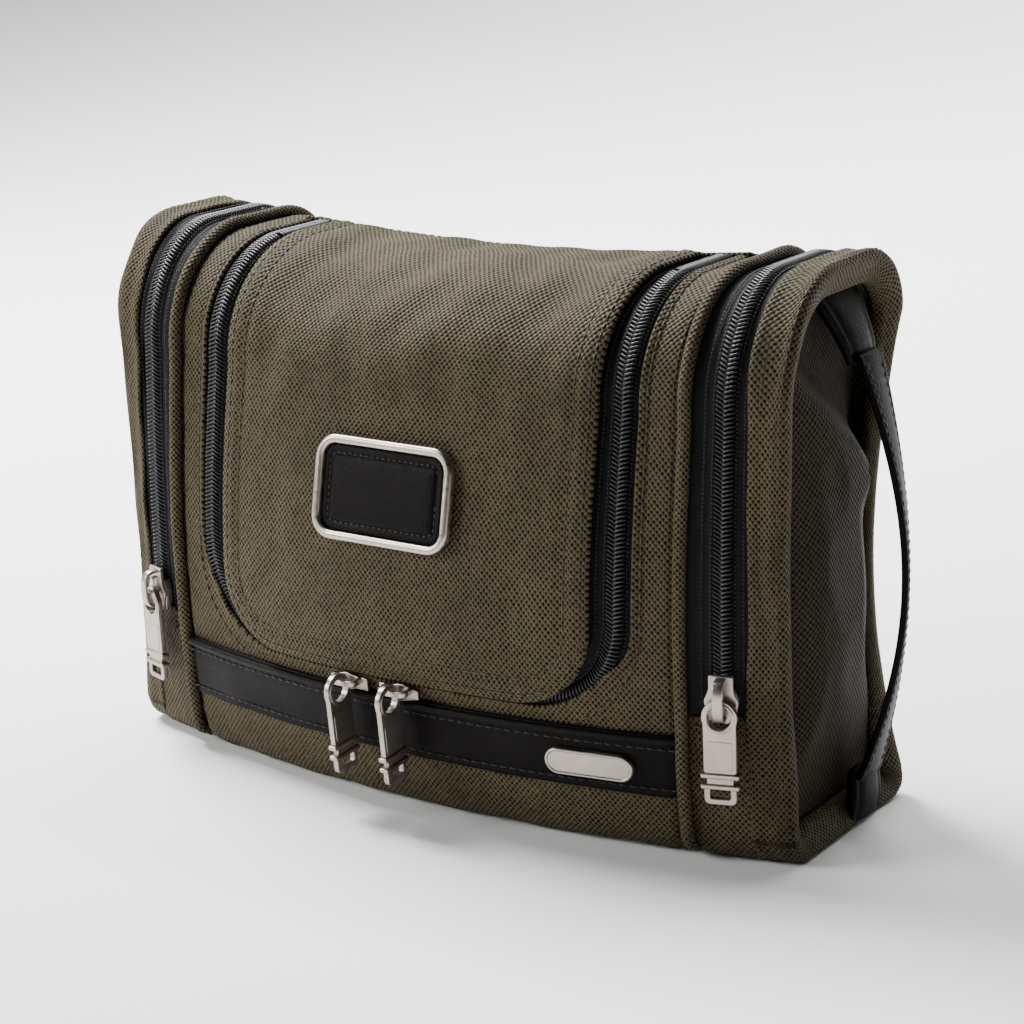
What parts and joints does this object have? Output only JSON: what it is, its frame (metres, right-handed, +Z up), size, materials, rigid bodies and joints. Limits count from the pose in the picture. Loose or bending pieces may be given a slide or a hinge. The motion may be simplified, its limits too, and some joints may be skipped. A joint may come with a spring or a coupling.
{
  "type": "hanging wash bag",
  "caption": "Soft box-shaped hanging wash bag with a zipped wrap-over lid, a zipped pocket at each end, leather trim, a side carrying strap and a swivel hook inside.",
  "frame": {"origin": "middle of the flat base, half way between the end faces and half way through the depth of the end rims", "axes": "+X to the end with the carrying strap, -Y out of the front, +Z up"},
  "size_m": [0.2971, 0.121, 0.19],
  "materials": {
    "ballistic_nylon": "olive-brown two-by-two woven nylon",
    "black_lining": "smooth black polyester lining",
    "zip_tape": "black twill zip tape",
    "zip_coil": "glossy black nylon coil",
    "black_leather": "fine-grained black-brown leather",
    "warm_nickel": "brushed warm nickel plate",
    "webbing": "black woven webbing and elastic",
    "mesh": "black mesh",
    "board": "grey stiffening board"
  },
  "bodies": {
    "bag": {"bottom_panel": "ballistic_nylon", "base_board": "board", "back_panel": "ballistic_nylon", "rear_top_panel": "ballistic_nylon", "front_panel": "ballistic_nylon", "left_rim": "ballistic_nylon", "right_rim": "ballistic_nylon", "left_pocket_front": "ballistic_nylon", "right_pocket_front": "ballistic_nylon", "left_side_panel": "ballistic_nylon", "right_side_panel": "ballistic_nylon", "left_partition": "black_lining", "right_partition": "black_lining", "left_piping": "ballistic_nylon", "right_piping": "ballistic_nylon", "leather_band": "black_leather", "band_edge_roll": "black_leather", "oval_badge": "warm_nickel", "left_zip_tape": "zip_tape", "right_zip_tape": "zip_tape", "left_zip_coil": "zip_coil", "right_zip_coil": "zip_coil", "left_zip_end_tab": "ballistic_nylon", "right_zip_end_tab": "ballistic_nylon", "lid_zip_outer_tape": "zip_tape", "lid_zip_outer_coil": "zip_coil", "main_lining": "black_lining", "mesh_pocket": "mesh", "elastic_loops": "webbing", "upper_strap_anchor": "black_leather", "lower_strap_anchor": "black_leather", "hook_tab": "webbing"},
    "lid_top": {"lid_top_panel": "ballistic_nylon", "lid_top_lining": "black_lining", "lid_top_zip_tape": "zip_tape", "lid_top_zip_coil": "zip_coil"},
    "lid_front": {"lid_front_panel": "ballistic_nylon", "lid_front_lining": "black_lining", "lid_front_zip_tape": "zip_tape", "lid_front_zip_coil": "zip_coil", "patch_frame": "warm_nickel", "patch_leather": "black_leather"},
    "lid_left_slider": {"lid_left_slider": "warm_nickel"},
    "lid_left_pull": {"lid_left_pull": "warm_nickel"},
    "lid_right_slider": {"lid_right_slider": "warm_nickel"},
    "lid_right_pull": {"lid_right_pull": "warm_nickel"},
    "left_slider": {"left_slider": "warm_nickel"},
    "left_pull": {"left_pull": "warm_nickel"},
    "right_slider": {"right_slider": "warm_nickel"},
    "right_pull": {"right_pull": "warm_nickel"},
    "carry_strap": {"carry_strap": "black_leather"},
    "hook_eye": {"hook_eye": "warm_nickel"},
    "travel_hook": {"travel_hook": "warm_nickel"}
  },
  "joints": [
    {"name": "lid_top_hinge", "type": "hinge", "parent": "bag", "child": "lid_top", "pos_m": [0, 0.018, 0.1865], "axis": [-1, 0, 0], "range_deg": [0, 165]},
    {"name": "lid_front_fold", "type": "hinge", "parent": "lid_top", "child": "lid_front", "pos_m": [0, -0.0535, 0.146], "axis": [-1, 0, 0], "range_deg": [0, 90]},
    {"name": "lid_left_slider_slide", "type": "slide", "parent": "lid_front", "child": "lid_left_slider", "axis": [-0.9968, 0.0802, 0], "range_m": [0, 0.0301]},
    {"name": "lid_left_pull_swing", "type": "hinge", "parent": "lid_left_slider", "child": "lid_left_pull", "pos_m": [-0.01632, -0.07087, 0.04687], "axis": [-0.9991, 0.0415, 0], "range_deg": [0, 90]},
    {"name": "lid_right_slider_slide", "type": "slide", "parent": "lid_front", "child": "lid_right_slider", "axis": [0.9978, 0.066, 0], "range_m": [0, 0.0411]},
    {"name": "lid_right_pull_swing", "type": "hinge", "parent": "lid_right_slider", "child": "lid_right_pull", "pos_m": [0.0051, -0.07117, 0.04686], "axis": [-0.9999, -0.013, 0], "range_deg": [0, 90]},
    {"name": "left_slider_slide", "type": "slide", "parent": "bag", "child": "left_slider", "axis": [0, 0.0368, 0.9993], "range_m": [0, 0.076]},
    {"name": "left_pull_swing", "type": "hinge", "parent": "left_slider", "child": "left_pull", "pos_m": [-0.11971, -0.05098, 0.05794], "axis": [-0.9542, 0.2993, 0], "range_deg": [0, 170]},
    {"name": "right_slider_slide", "type": "slide", "parent": "bag", "child": "right_slider", "axis": [0, 0.0368, 0.9993], "range_m": [0, 0.076]},
    {"name": "right_pull_swing", "type": "hinge", "parent": "right_slider", "child": "right_pull", "pos_m": [0.11971, -0.05098, 0.05794], "axis": [-0.9542, -0.2993, 0], "range_deg": [0, 170]},
    {"name": "carry_strap_swing", "type": "hinge", "parent": "bag", "child": "carry_strap", "pos_m": [0.1395, 0.01, 0.088], "axis": [0, 0, 1], "range_deg": [-25, 25]},
    {"name": "hook_eye_swing", "type": "hinge", "parent": "bag", "child": "hook_eye", "pos_m": [0, 0.02, 0.158], "axis": [-1, 0, 0], "range_deg": [0, 90]},
    {"name": "travel_hook_swivel", "type": "hinge", "parent": "hook_eye", "child": "travel_hook", "pos_m": [0, 0.02, 0.145], "axis": [0, 0, 1], "range_deg": [-90, 90]}
  ]
}
